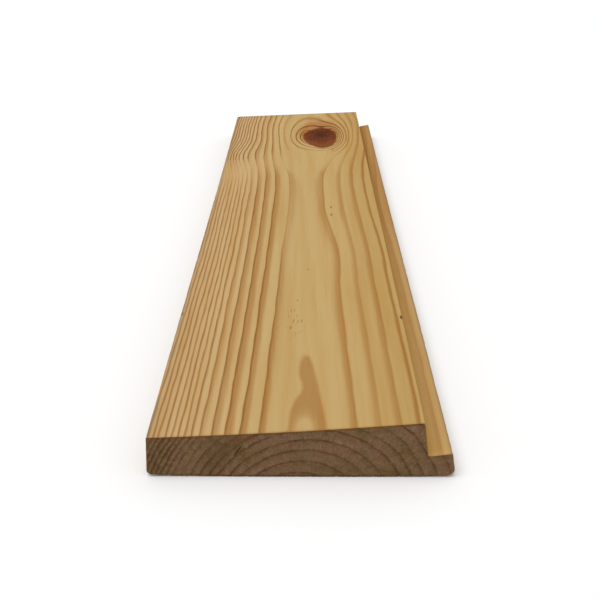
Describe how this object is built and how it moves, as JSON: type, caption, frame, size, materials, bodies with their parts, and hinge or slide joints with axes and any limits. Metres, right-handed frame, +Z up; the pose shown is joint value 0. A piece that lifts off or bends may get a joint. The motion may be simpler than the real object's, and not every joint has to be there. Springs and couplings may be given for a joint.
{
  "type": "rebated feather-edge board",
  "caption": "Planed softwood cladding board of wedge section, with a rebate along its thick edge that laps over the thin edge of the next board.",
  "frame": {"origin": "middle of the flat weather face, which the board lies on", "axes": "+Y along the grain, away from the end that the picture shows in front; +X from the thin edge to the thick, rebated edge; +Z up, out of the back that has the rebate"},
  "size_m": [0.145, 0.67, 0.0295],
  "materials": {
    "planed_softwood": "planed and unfinished, with sawn ends"
  },
  "bodies": {
    "root": {"rebated_board": "planed_softwood"}
  },
  "joints": []
}
